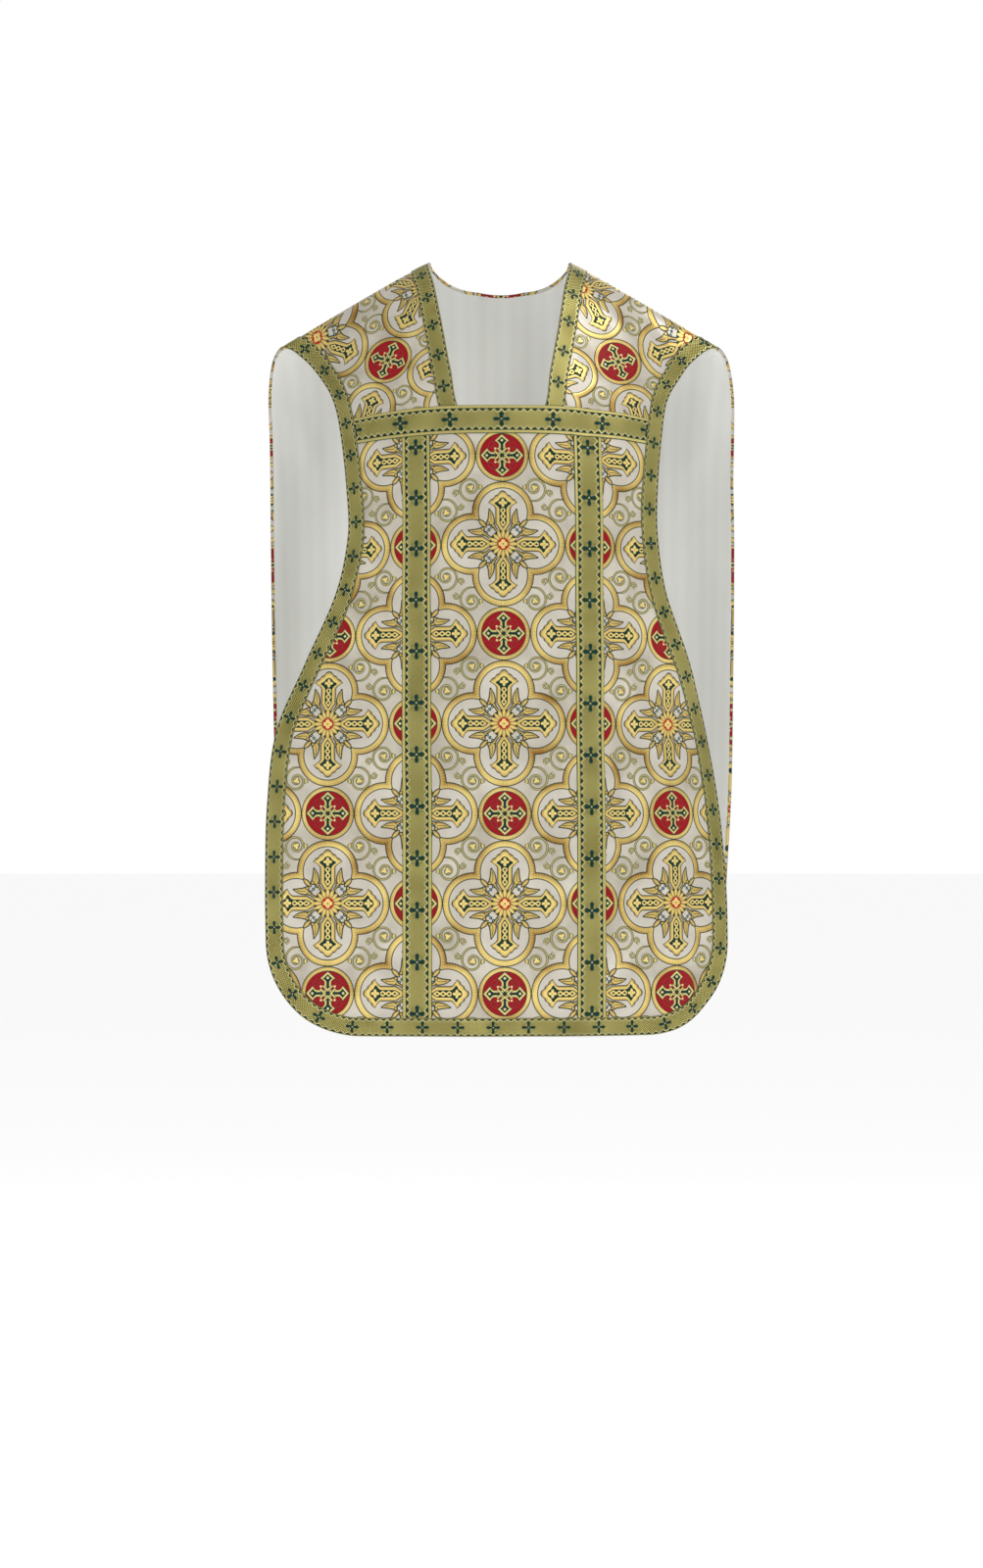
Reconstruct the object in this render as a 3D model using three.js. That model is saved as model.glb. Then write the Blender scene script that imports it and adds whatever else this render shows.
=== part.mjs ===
// A roman (fiddleback) chasuble, held in the shape that it takes when it is worn.
//
// The garment is a stiff brocade front and back that meet only over the shoulders, open at both sides,
// lined all through and trimmed with woven galloon braid. Two yoke pieces run from the chest band over the
// shoulders to a seam just behind the shoulder line. The back hangs from that seam.
//
// Millimetres. +Z is up, the front faces -Y and +X is the wearer's left. The origin is in the middle of the
// neck opening, at the height where the shoulder line meets the neck.
//
// Every piece is placed through one sheet of cloth that runs from the front hem over the shoulders to the
// back hem. A point on it has two measures: across, the distance out from the centre line, and run, the
// distance along the centre line from the shoulder line, minus on the front and plus on the back.
import * as THREE from "three";

// Thickness of each layer, and the clearances between layers, at the seams and between braids.
const BROCADE = 1.6;
const LINING = 1.0;
const BRAID = 1.2;
const SEAM_GAP = 0.3;
const SHOULDER_GAP = 0.9;
const SEWN_GAP = 0.9;
const BRAID_GAP = 1;

// Widths of the two braids, where they lie, and the roundness of the lower corners.
const EDGE_BRAID = 22;
const BAND_BRAID = 35;
const COLUMN_PITCH = 208;
const BAND_ABOVE_SEAM = 8;
const CORNER_RADIUS = 112;

// Runs of the shoulder seam and of the lowest point of the back neckline.
const SHOULDER_SEAM = 12;
const NAPE = 78;

// Sections across the cloth, from the front hem over the shoulders to the back hem.
//   height, depth: where the section crosses the centre line
//   sway: how far the section hangs to the wearer's left of the middle
//   neck: half width of the level stretch around the neck
//   half: from the centre line to the side edge
//   right, left: curvature in plan of the wearer's right (-X) and left (+X) sides, in 1/m, plus to the rear
//   fall: how far the side edge lies below the level stretch
//   ease: 1 for a straight fall, 2 for one that starts level
const SECTIONS = [
  { height: -936, depth: -152, sway: 2, neck: 0, half: 285, right: 0.6, left: 2.1, fall: 0, ease: 2 },
  { height: -836, depth: -154, sway: 2, neck: 0, half: 286, right: 0.6, left: 2.15, fall: 0, ease: 2 },
  { height: -760, depth: -154, sway: 2, neck: 0, half: 287, right: 0.6, left: 2.3, fall: 0, ease: 2 },
  { height: -660, depth: -153, sway: 2, neck: 0, half: 285, right: 0.65, left: 2.7, fall: 0, ease: 2 },
  { height: -570, depth: -151, sway: 1, neck: 0, half: 274, right: 0.9, left: 3.05, fall: 1, ease: 2 },
  { height: -490, depth: -149, sway: 1, neck: 0, half: 243, right: 1.5, left: 2.95, fall: 3, ease: 2 },
  { height: -410, depth: -145, sway: 0, neck: 0, half: 209, right: 2.2, left: 2.8, fall: 5, ease: 2 },
  { height: -330, depth: -138, sway: 0, neck: 0, half: 194, right: 2.6, left: 2.7, fall: 8, ease: 2 },
  { height: -258, depth: -130, sway: -1, neck: 0, half: 198, right: 2.85, left: 2.9, fall: 11, ease: 2 },
  { height: -191, depth: -118, sway: -2, neck: 49, half: 208, right: 3, left: 3.05, fall: 14, ease: 1.7 },
  { height: -138, depth: -103, sway: -3, neck: 60, half: 215, right: 2.85, left: 2.9, fall: 34, ease: 1.35 },
  { height: -84, depth: -81, sway: -3, neck: 70, half: 226, right: 2.35, left: 2.4, fall: 62, ease: 1.15 },
  { height: -32, depth: -46, sway: -4, neck: 79, half: 240, right: 1.35, left: 1.4, fall: 88, ease: 1.08 },
  { height: 0, depth: 2, sway: -4, neck: 86, half: 262, right: 0.1, left: 0.1, fall: 102, ease: 1.08 },
  { height: -8, depth: 42, sway: -3, neck: 70, half: 280, right: -0.7, left: -0.7, fall: 108, ease: 1.08 },
  { height: -35, depth: 76, sway: -2, neck: 20, half: 291, right: -1.2, left: -1.2, fall: 118, ease: 1.25 },
  { height: -110, depth: 110, sway: -1, neck: 0, half: 298, right: -1.7, left: -1.7, fall: 96, ease: 1.6 },
  { height: -200, depth: 133, sway: -1, neck: 0, half: 303, right: -2, left: -2, fall: 58, ease: 2 },
  { height: -330, depth: 147, sway: 0, neck: 0, half: 307, right: -2.15, left: -2.15, fall: 22, ease: 2 },
  { height: -500, depth: 151, sway: 0, neck: 0, half: 310, right: -2.4, left: -2.35, fall: 5, ease: 2 },
  { height: -640, depth: 150, sway: 0, neck: 0, half: 311, right: -2.6, left: -2.5, fall: 0, ease: 2 },
  { height: -760, depth: 147, sway: 0, neck: 0, half: 311, right: -2.9, left: -2.8, fall: 0, ease: 2 },
  { height: -836, depth: 145, sway: 0, neck: 0, half: 310, right: -3, left: -2.9, fall: 0, ease: 2 },
  { height: -932, depth: 141, sway: 0, neck: 0, half: 308, right: -3.1, left: -3, fall: 0, ease: 2 },
];
const PER_MILLIMETRE = 0.001;
const STRAIGHT = 1e-7;

const CHEST_SECTION = SECTIONS.findIndex((section) => section.neck > 0);
const SHOULDER_SECTION = SECTIONS.findIndex((section) => section.height === 0);

// The run of each section, summed along the centre line from the shoulder line.
const RUNS = SECTIONS.map(() => 0);
for (let i = SHOULDER_SECTION + 1; i < SECTIONS.length; i++) RUNS[i] = RUNS[i - 1] + stepLength(i - 1, i);
for (let i = SHOULDER_SECTION - 1; i >= 0; i--) RUNS[i] = RUNS[i + 1] - stepLength(i, i + 1);

function stepLength(i, j) {
  const rise = SECTIONS[j].height - SECTIONS[i].height;
  return Math.hypot(rise, SECTIONS[j].depth - SECTIONS[i].depth);
}

const FRONT_HEM = RUNS[0];
const CHEST_SEAM = RUNS[CHEST_SECTION];
const BACK_HEM = RUNS[RUNS.length - 1];

// One column of the table at any run, as a smooth curve through the sections.
function measure(column, run) {
  const last = SECTIONS.length - 1;
  const value = (i) => SECTIONS[i][column];
  const slope = (i) => {
    const before = Math.max(i - 1, 0);
    const after = Math.min(i + 1, last);
    return (value(after) - value(before)) / (RUNS[after] - RUNS[before]);
  };
  let i = 0;
  while (i < last - 1 && run > RUNS[i + 1]) i++;
  const length = RUNS[i + 1] - RUNS[i];
  const t = Math.min(1, Math.max(0, (run - RUNS[i]) / length));
  const ends = value(i) * (1 + 2 * t) * (1 - t) ** 2 + value(i + 1) * t * t * (3 - 2 * t);
  return ends + length * (slope(i) * t * (1 - t) ** 2 - slope(i + 1) * t * t * (1 - t));
}

// The place in space of a point of the cloth.
function place(across, run) {
  const bend = measure(across < 0 ? "right" : "left", run) * PER_MILLIMETRE || STRAIGHT;
  const neck = Math.max(0, measure("neck", run));
  const share = Math.max(0, (Math.abs(across) - neck) / (measure("half", run) - neck));
  return new THREE.Vector3(
    measure("sway", run) + Math.sin(across * bend) / bend,
    measure("depth", run) + (1 - Math.cos(across * bend)) / bend,
    measure("height", run) - measure("fall", run) * share ** measure("ease", run),
  );
}

// The same, moved out from the body by a distance square to the cloth.
function placeOut(across, run, out) {
  const step = 0.5;
  const alongAcross = place(across + step, run).sub(place(across - step, run));
  const alongRun = place(across, run + step).sub(place(across, run - step));
  return place(across, run).addScaledVector(alongAcross.cross(alongRun).normalize(), out);
}

// Half the cut width of the front or the back at a run, with its round lower corners.
function sideEdge(run) {
  const half = measure("half", run);
  const toHem = run < 0 ? run - FRONT_HEM : BACK_HEM - run;
  if (toHem >= CORNER_RADIUS) return half;
  const into = CORNER_RADIUS - Math.max(0, toHem);
  return half - CORNER_RADIUS + Math.sqrt(CORNER_RADIUS ** 2 - into ** 2);
}

function lerp(a, b, t) {
  return a + (b - a) * t;
}

// How much closer together the rows stand towards the shoulder.
const CROWDING = 1.5;

function range(count, from, to) {
  return Array.from({ length: count + 1 }, (_, i) => lerp(from, to, i / count));
}

// Runs of the rows that turn round a lower corner, closer together towards the hem.
function cornerRuns(count, hem, inwards) {
  return range(count, 0, Math.PI / 2).map((angle) => hem + inwards * CORNER_RADIUS * (1 - Math.sin(angle)));
}

// A closed wall over a grid of cloth points [across, run], between two distances out from the body. Each
// square of the grid is split along its shorter diagonal.
function wall(rows, inside, outside) {
  const across = rows[0].length;
  const cloth = rows.flat().map(([a, run]) => place(a, run));
  const points = [inside, outside].map((out) => rows.flat().map(([a, run]) => placeOut(a, run, out))).flat();
  const layer = cloth.length;
  const faces = [];
  const quad = (a, b, c, d) => faces.push(a, b, c, a, c, d);
  for (let j = 0; j + 1 < rows.length; j++) {
    for (let i = 0; i + 1 < across; i++) {
      const at = j * across + i;
      const ring = [at, at + 1, at + across + 1, at + across];
      const isTurned = cloth[ring[0]].distanceTo(cloth[ring[2]]) > cloth[ring[1]].distanceTo(cloth[ring[3]]);
      const [a, b, c, d] = isTurned ? [ring[1], ring[2], ring[3], ring[0]] : ring;
      quad(layer + a, layer + b, layer + c, layer + d);
      quad(c, b, a, d);
    }
  }
  const rim = [];
  for (let i = 0; i + 1 < across; i++) rim.push(i);
  for (let j = 0; j + 1 < rows.length; j++) rim.push(j * across + across - 1);
  for (let i = across - 1; i > 0; i--) rim.push((rows.length - 1) * across + i);
  for (let j = rows.length - 1; j > 0; j--) rim.push(j * across);
  rim.forEach((at, n) => {
    const next = rim[(n + 1) % rim.length];
    quad(at, next, layer + next, layer + at);
  });
  const geometry = new THREE.BufferGeometry();
  geometry.setFromPoints(points);
  geometry.setIndex(faces);
  return geometry;
}

// A braid laid on the cloth along a path of cloth points. It reaches from the path to the left of it, or to
// the right where side is -1. An end that comes to a seam is cut level with it, and none of it passes the
// highest run given.
function braid(path, width, side, strands = 1, highest = BACK_HEM) {
  const rows = path.map(([across, run], n) => {
    const before = path[Math.max(n - 1, 0)];
    const after = path[Math.min(n + 1, path.length - 1)];
    const square = [before[1] - after[1], after[0] - before[0]].map((v) => v * side);
    const long = Math.hypot(...square);
    const isEnd = n === 0 || n === path.length - 1;
    const isLevel = isEnd && Math.abs(square[0]) > Math.abs(square[1]);
    const direction = isLevel ? [Math.sign(square[0]), 0] : square.map((v) => v / long);
    const slant = isLevel ? Math.abs(square[0]) / long : 1;
    const reach = place(across + direction[0], run + direction[1]).distanceTo(place(across, run));
    const steps = range(strands, 0, width / reach / slant);
    return steps.map((d) => [across + direction[0] * d, Math.min(highest, run + direction[1] * d)]);
  });
  const ordered = side < 0 ? rows : rows.map((row) => row.reverse());
  return braidWall(ordered);
}

const brocadeWall = (rows) => wall(rows, 0, BROCADE);
const liningWall = (rows) => wall(rows, -SEAM_GAP - LINING, -SEAM_GAP);
const braidWall = (rows) => wall(rows, BROCADE + SEWN_GAP, BROCADE + SEWN_GAP + BRAID);

// Rows across the whole width, at the given runs.
function fullRows(runs, columns) {
  return runs.map((run) => range(columns, -1, 1).map((share) => [share * sideEdge(run), run]));
}

// The front below the chest seam.
const FRONT_COLUMNS = 14;
const CORNER_ROWS = 6;
const frontRuns = [
  ...cornerRuns(CORNER_ROWS, FRONT_HEM, 1).reverse(),
  ...range(13, FRONT_HEM + CORNER_RADIUS, CHEST_SEAM - SEAM_GAP / 2).slice(1),
];
const frontRows = fullRows(frontRuns, FRONT_COLUMNS);

// A yoke piece, from the chest seam over the shoulder. The sign is that of its side of the body.
const YOKE_COLUMNS = 6;
const YOKE_ROWS = 16;
const yokeRuns = range(YOKE_ROWS, 1, 0).map((t) =>
  lerp(SHOULDER_SEAM - SHOULDER_GAP / 2, CHEST_SEAM + SEAM_GAP / 2, t ** CROWDING),
);
function yokeRows(sign) {
  return yokeRuns.map((run) => {
    const row = range(YOKE_COLUMNS, measure("neck", run), sideEdge(run)).map((a) => [sign * a, run]);
    return sign > 0 ? row : row.reverse();
  });
}

// The back neckline: from the seam on one shoulder round the nape to the other, as half of an oval.
function neckline(angle) {
  const half = measure("neck", SHOULDER_SEAM);
  return [-half * Math.cos(angle), SHOULDER_SEAM + (NAPE - SHOULDER_SEAM) * Math.sin(angle)];
}

// The back. Its first row follows the seams and the neckline, and the next ones ease into level rows.
const NECKLINE_COLUMNS = 8;
const EASE_ROWS = 10;
const LEVEL_RUN = 210;
function backTopRow() {
  const start = SHOULDER_SEAM + SHOULDER_GAP / 2;
  const leftSeam = range(YOKE_COLUMNS, measure("neck", start), sideEdge(start)).map((a) => [a, start]);
  const rightSeam = leftSeam.map(([across, run]) => [-across, run]).reverse();
  const round = range(NECKLINE_COLUMNS, 0, Math.PI).map((angle) => neckline(angle));
  return [...rightSeam, ...round.slice(1, -1), ...leftSeam];
}
const backTop = backTopRow();
const backColumns = backTop.length - 1;
const backUpperRows = range(EASE_ROWS, 0, 1).map((step) => {
  const t = step ** CROWDING;
  return backTop.map(([across, run], i) => {
    const at = lerp(run, LEVEL_RUN, t);
    const share = lerp(across / sideEdge(run), (2 * i) / backColumns - 1, t);
    return [share * sideEdge(at), at];
  });
});
const backLowerRuns = [
  ...range(8, LEVEL_RUN, BACK_HEM - CORNER_RADIUS).slice(1),
  ...cornerRuns(CORNER_ROWS, BACK_HEM, -1).slice(1),
];
const backRows = [...backUpperRows, ...fullRows(backLowerRuns, backColumns)];

// The edge that a piece's braid follows, from its seam on the right shoulder down, along the hem and up to
// the left shoulder. The rows run from the shoulder to the hem.
function edgePath(rows) {
  const right = rows.map((row) => row[0]);
  const left = rows.map((row) => row[row.length - 1]).reverse();
  const hem = rows[rows.length - 1].slice(1, -1);
  return [...right, ...hem, ...left];
}
const sideEnds = (run) => [[-sideEdge(run), run], [sideEdge(run), run]];
const yokeEnds = yokeRuns.slice(1).map(sideEnds);
const frontEdge = edgePath([...frontRows, ...yokeEnds].reverse());
const backEdge = edgePath([sideEnds(SHOULDER_SEAM + SHOULDER_GAP / 2), ...backRows.slice(1)]);

// The neck edge, from the chest band up over one shoulder, round the nape and down the other side.
const BAND_TOP = CHEST_SEAM + BAND_ABOVE_SEAM;
const neckRuns = [BAND_TOP + SEAM_GAP, ...yokeRuns.slice(1)];
const neckRight = neckRuns.map((run) => [-measure("neck", run), run]);
const neckBack = range(20, 0, Math.PI).map((angle) => neckline(angle)).slice(1, -1);
const neckLeft = neckRight.map(([across, run]) => [-across, run]).reverse();
const neckPath = [...neckRight, ...neckBack, ...neckLeft];

// The chest band covers the chest seam, between the braids of the side edges.
const BAND_FOOT = BAND_TOP - BAND_BRAID;
const chestBandRows = range(2, BAND_FOOT, BAND_TOP).map((run) => {
  const half = sideEdge(run) - EDGE_BRAID - BRAID_GAP;
  return range(16, -half, half).map((a) => [a, run]);
});

// A column band, from its head down to the braid of the hem. The head has a run for each strand, and the
// rows are closer together down to the turn, where the cloth bends most.
function columnRows(sign, heads, turn, foot) {
  const upper = range(10, 0, 1);
  const lower = range(9, 0, 1).slice(1).map((t) => lerp(turn, foot, t ** CROWDING));
  const strands = range(heads.length - 1, -BAND_BRAID / 2, BAND_BRAID / 2);
  const across = (strand) => sign * (COLUMN_PITCH / 2 + strand);
  const rows = [
    ...upper.map((t) => strands.map((strand, i) => [across(strand), lerp(heads[i], turn, t ** CROWDING)])),
    ...lower.map((run) => strands.map((strand) => [across(strand), run])),
  ];
  return sign * (foot - turn) > 0 ? rows : rows.map((row) => row.reverse());
}
const FRONT_HEADS = Array(3).fill(BAND_FOOT - BRAID_GAP);
const FRONT_TURN = -470;
// The back bands start at the neck braid and slope off beside it, to the shoulder seam.
const BACK_HEADS = [65, 48, 33, 21, 14];
const BACK_TURN = 160;

const brocade = new THREE.MeshStandardMaterial({ color: 0xcdbb8c, roughness: 0.5, metalness: 0.15 });
const satin = new THREE.MeshStandardMaterial({ color: 0xd9dcd2, roughness: 0.55, metalness: 0 });
const goldBraid = new THREE.MeshStandardMaterial({ color: 0xa89548, roughness: 0.45, metalness: 0.3 });

const chasuble = new THREE.Group();
function piece(name, geometry, material) {
  const mesh = new THREE.Mesh(geometry, material);
  mesh.name = name;
  chasuble.add(mesh);
}

piece("front_panel", brocadeWall(frontRows), brocade);
piece("front_lining", liningWall(frontRows), satin);
for (const [side, sign] of [["right", -1], ["left", 1]]) {
  piece(`yoke_${side}`, brocadeWall(yokeRows(sign)), brocade);
  piece(`yoke_lining_${side}`, liningWall(yokeRows(sign)), satin);
}
piece("back_panel", brocadeWall(backRows), brocade);
piece("back_lining", liningWall(backRows), satin);
piece("front_edge_braid", braid(frontEdge, EDGE_BRAID, 1, 2, SHOULDER_SEAM - SHOULDER_GAP / 2), goldBraid);
piece("back_edge_braid", braid(backEdge, EDGE_BRAID, -1), goldBraid);
piece("neck_braid", braid(neckPath, EDGE_BRAID, 1, 2), goldBraid);
piece("chest_band", braidWall(chestBandRows), goldBraid);
for (const [side, sign] of [["right", -1], ["left", 1]]) {
  const front = columnRows(sign, FRONT_HEADS, FRONT_TURN, FRONT_HEM + EDGE_BRAID + BRAID_GAP);
  const back = columnRows(sign, BACK_HEADS, BACK_TURN, BACK_HEM - EDGE_BRAID - BRAID_GAP);
  piece(`front_column_${side}`, braidWall(front), goldBraid);
  piece(`back_column_${side}`, braidWall(back), goldBraid);
}

export default chasuble;
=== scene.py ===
"""A roman chasuble in the shape that it takes on its wearer: a stiff brocade front and back that meet over
the shoulders, lined with satin and trimmed with woven galloon.

Every piece is cut flat, given its thickness and then hung. A point of the flat cut is (across, run): the
distance out from the centre line, and the run along it from the shoulder line, minus on the front and plus on
the back. Heights are above the inner face of the brocade. Metres, in the frame of the solids.
"""

import math

import bmesh
import bpy
import numpy as np
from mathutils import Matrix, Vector


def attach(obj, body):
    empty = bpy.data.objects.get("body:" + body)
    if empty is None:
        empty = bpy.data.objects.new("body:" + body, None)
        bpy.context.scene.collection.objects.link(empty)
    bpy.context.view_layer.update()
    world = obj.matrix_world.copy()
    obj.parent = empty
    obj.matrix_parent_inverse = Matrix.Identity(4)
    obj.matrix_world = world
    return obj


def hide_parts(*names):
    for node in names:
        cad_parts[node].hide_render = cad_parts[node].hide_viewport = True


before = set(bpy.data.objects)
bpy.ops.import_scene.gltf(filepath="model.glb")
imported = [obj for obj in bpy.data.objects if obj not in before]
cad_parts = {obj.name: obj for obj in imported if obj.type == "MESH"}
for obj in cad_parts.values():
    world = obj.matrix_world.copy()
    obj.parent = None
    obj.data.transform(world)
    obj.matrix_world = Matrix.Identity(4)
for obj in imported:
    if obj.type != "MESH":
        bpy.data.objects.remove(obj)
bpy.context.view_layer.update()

MM = 0.001
PROBE = 0.5 * MM  # the small step over which slopes are read

# ---------------------------------------------------------------- the form that the cloth hangs on

# Sections across the cloth, from the front hem over the shoulders to the back hem, in millimetres and 1/m.
# height, depth: the centre line. sway: how far it hangs to the wearer's left. neck: half width of the level
# stretch around the neck. half: out to the side edge. right, left: curvature in plan. fall: how far the side
# edge lies below the middle. ease: 1 for a straight fall, 2 for one that starts level.
SECTIONS = [
    (-936, -152, 2, 0, 285, 0.6, 2.1, 0, 2),
    (-836, -154, 2, 0, 286, 0.6, 2.15, 0, 2),
    (-760, -154, 2, 0, 287, 0.6, 2.3, 0, 2),
    (-660, -153, 2, 0, 285, 0.65, 2.7, 0, 2),
    (-570, -151, 1, 0, 274, 0.9, 3.05, 1, 2),
    (-490, -149, 1, 0, 243, 1.5, 2.95, 3, 2),
    (-410, -145, 0, 0, 209, 2.2, 2.8, 5, 2),
    (-330, -138, 0, 0, 194, 2.6, 2.7, 8, 2),
    (-258, -130, -1, 0, 198, 2.85, 2.9, 11, 2),
    (-191, -118, -2, 49, 208, 3, 3.05, 14, 1.7),
    (-138, -103, -3, 60, 215, 2.85, 2.9, 34, 1.35),
    (-84, -81, -3, 70, 226, 2.35, 2.4, 62, 1.15),
    (-32, -46, -4, 79, 240, 1.35, 1.4, 88, 1.08),
    (0, 2, -4, 86, 262, 0.1, 0.1, 102, 1.08),
    (-8, 42, -3, 70, 280, -0.7, -0.7, 108, 1.08),
    (-35, 76, -2, 20, 291, -1.2, -1.2, 118, 1.25),
    (-110, 110, -1, 0, 298, -1.7, -1.7, 96, 1.6),
    (-200, 133, -1, 0, 303, -2, -2, 58, 2),
    (-330, 147, 0, 0, 307, -2.15, -2.15, 22, 2),
    (-500, 151, 0, 0, 310, -2.4, -2.35, 5, 2),
    (-640, 150, 0, 0, 311, -2.6, -2.5, 0, 2),
    (-760, 147, 0, 0, 311, -2.9, -2.8, 0, 2),
    (-836, 145, 0, 0, 310, -3, -2.9, 0, 2),
    (-932, 141, 0, 0, 308, -3.1, -3, 0, 2),
]
COLUMNS = ("height", "depth", "sway", "neck", "half", "right", "left", "fall", "ease")
UNITS = (MM, MM, MM, MM, MM, 1, 1, MM, 1)
FORM = dict(zip(COLUMNS, (np.array(SECTIONS) * UNITS).T))
CHEST_SECTION, SHOULDER_SECTION = 9, 13

steps = np.hypot(np.diff(FORM["height"]), np.diff(FORM["depth"]))
RUNS = np.concatenate([[0], np.cumsum(steps)])
RUNS -= RUNS[SHOULDER_SECTION]
FRONT_HEM, CHEST_SEAM, BACK_HEM = RUNS[0], RUNS[CHEST_SECTION], RUNS[-1]

SHOULDER_SEAM = 12 * MM
NAPE = 78 * MM
CORNER_RADIUS = 112 * MM
EDGE_GALLOON = 22 * MM
WIDE_GALLOON = 35 * MM
COLUMN_PITCH = 208 * MM
BAND_TOP = CHEST_SEAM + 8 * MM
BAND_FOOT = BAND_TOP - WIDE_GALLOON
BUTT = 0.4 * MM  # between two galloons that meet end to side


def measure(name, run):
    """A column of the sections at any run, as a smooth curve through them."""
    value, run = FORM[name], np.asarray(run, float)
    last = len(RUNS) - 1
    after, before = np.minimum(np.arange(last + 1) + 1, last), np.maximum(np.arange(last + 1) - 1, 0)
    slope = (value[after] - value[before]) / (RUNS[after] - RUNS[before])
    i = np.clip(np.searchsorted(RUNS, run) - 1, 0, last - 1)
    length = RUNS[i + 1] - RUNS[i]
    t = np.clip((run - RUNS[i]) / length, 0, 1)
    ends = value[i] * (1 + 2 * t) * (1 - t) ** 2 + value[i + 1] * t * t * (3 - 2 * t)
    return ends + length * (slope[i] * t * (1 - t) ** 2 - slope[i + 1] * t * t * (1 - t))


def place(across, run):
    """Where a point of the cloth hangs, before any fold."""
    bend = np.where(across < 0, measure("right", run), measure("left", run))
    bend = np.where(np.abs(bend) < 1e-4, 1e-4, bend)
    neck = np.maximum(0, measure("neck", run))
    share = np.maximum(0, (np.abs(across) - neck) / (measure("half", run) - neck))
    return np.stack(
        [
            measure("sway", run) + np.sin(across * bend) / bend,
            measure("depth", run) + (1 - np.cos(across * bend)) / bend,
            measure("height", run) - measure("fall", run) * share ** measure("ease", run),
        ],
        axis=-1,
    )


# Soft folds, in millimetres: the two ends as across and run, how far the line bows to its left, its half
# width, and how far it stands out from the body, minus where it sinks in.
FOLDS = [
    # the front, from the waist down to the hem
    (-238, -640, -246, -1100, 6, 20, 2.6),
    (-196, -700, -190, -1100, -4, 17, -1.9),
    (-62, -610, -48, -1090, 9, 27, 1.7),
    (24, -730, 36, -1100, -6, 22, -1.5),
    (148, -560, 166, -1100, 10, 24, -2.2),
    (196, -620, 212, -1100, 4, 19, 2.5),
    (252, -690, 262, -1100, -5, 15, -1.8),
    # drag lines at the waist and under the arms
    (-205, -330, -120, -540, 12, 15, -1.6),
    (-196, -420, -232, -610, -9, 16, 1.9),
    (192, -300, 118, -470, -10, 14, -1.5),
    (200, -430, 246, -600, 8, 17, 2.0),
    (-30, -300, -66, -480, 7, 24, 1.2),
    # the chest
    (118, -205, 96, -296, -3, 12, -1.3),
    (150, -196, 142, -300, 3, 11, 1.1),
    # the yokes, from the neck towards the shoulder points
    (-92, -22, -206, -150, -10, 13, 1.5),
    (-78, -96, -180, -196, 9, 12, -1.3),
    (-128, -6, -232, -84, -6, 11, -1.2),
    (94, -28, 204, -158, 10, 14, 1.4),
    (80, -110, 172, -200, -8, 11, -1.2),
    (136, -2, 236, -78, 6, 12, -1.3),
    # the back, from the shoulder blades down
    (-242, 190, -262, 1100, 12, 26, 4.2),
    (-188, 300, -200, 1100, -9, 22, -3.4),
    (-128, 120, -96, 700, 14, 30, -2.6),
    (-64, 420, -70, 1100, 7, 32, 3.2),
    (6, 180, 22, 640, -8, 34, 1.8),
    (48, 520, 40, 1100, 6, 25, -2.8),
    (112, 160, 128, 820, -13, 31, 3.0),
    (176, 380, 190, 1100, 10, 23, -3.6),
    (236, 150, 258, 1100, -8, 24, 3.9),
    (-268, 90, -224, 330, 9, 17, -2.4),
    (270, 84, 222, 350, -9, 18, -2.2),
    (-60, 96, -150, 260, 8, 17, 1.6),
    (64, 92, 160, 280, -8, 18, 1.7),
]
FOLD_DEPTH = 1.35  # times the table's heights, for cloth that has been worn
FOLD_FADE = 0.34  # share of a fold's length over which each end dies away


def folds(across, run):
    """How far the soft folds move the cloth out from the body."""
    out = np.zeros(np.shape(across))
    for a0, r0, a1, r1, bow, width, height in FOLDS:
        start, along = np.array([a0, r0]) * MM, np.array([a1 - a0, r1 - r0]) * MM
        length = np.hypot(*along)
        along = along / length
        da, dr = across - start[0], run - start[1]
        t = (da * along[0] + dr * along[1]) / length
        aside = da * -along[1] + dr * along[0] - bow * MM * 4 * t * (1 - t)
        fade = np.clip(t / FOLD_FADE, 0, 1) * np.clip((1 - t) / FOLD_FADE, 0, 1)
        fade = fade * fade * (3 - 2 * fade)
        out += height * FOLD_DEPTH * MM * fade * np.exp(-((aside / (width * MM)) ** 2))
    return out


def hang(flat, out):
    """The places in space of flat points (across, run), a distance out from the inner face of the brocade."""
    across, run = flat[..., 0], flat[..., 1]
    side = place(across + PROBE, run) - place(across - PROBE, run)
    down = place(across, run + PROBE) - place(across, run - PROBE)
    outward = np.cross(side, down)
    outward /= np.linalg.norm(outward, axis=-1, keepdims=True)
    return place(across, run) + outward * (folds(across, run) + out)[..., None]


# ---------------------------------------------------------------- the cut


# Rows and points round the curves, and the spans that a piece's rows or columns are counted over.
CORNER_ROWS, CORNER_POINTS, NAPE_POINTS = 26, 34, 52
FRONT_SPAN, YOKE_SPAN, NECK_SPAN, BLADES_SPAN = 570 * MM, 170 * MM, 240 * MM, 200 * MM


def side_edge(run, inset=0.0):
    """Half the cut width at a run, with the round lower corners."""
    half = measure("half", run)
    to_hem = np.where(run < 0, run - FRONT_HEM, BACK_HEM - run)
    into = np.clip(CORNER_RADIUS - to_hem, 0, CORNER_RADIUS - inset)
    turned = half - CORNER_RADIUS + np.sqrt(np.maximum(0, (CORNER_RADIUS - inset) ** 2 - into**2))
    return np.where(to_hem >= CORNER_RADIUS, half - inset, turned)


def even(start, end, step):
    """Even steps of about that size, both ends included."""
    return np.linspace(start, end, max(1, round(abs(end - start) / step)) + 1)


def corner_runs(hem, inwards, count, inset=0.0):
    """Runs of the rows that turn round a lower corner, from the straight side to the hem."""
    angle = np.linspace(0, math.pi / 2, count + 1)
    return hem + inwards * (CORNER_RADIUS - (CORNER_RADIUS - inset) * np.sin(angle))


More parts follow.
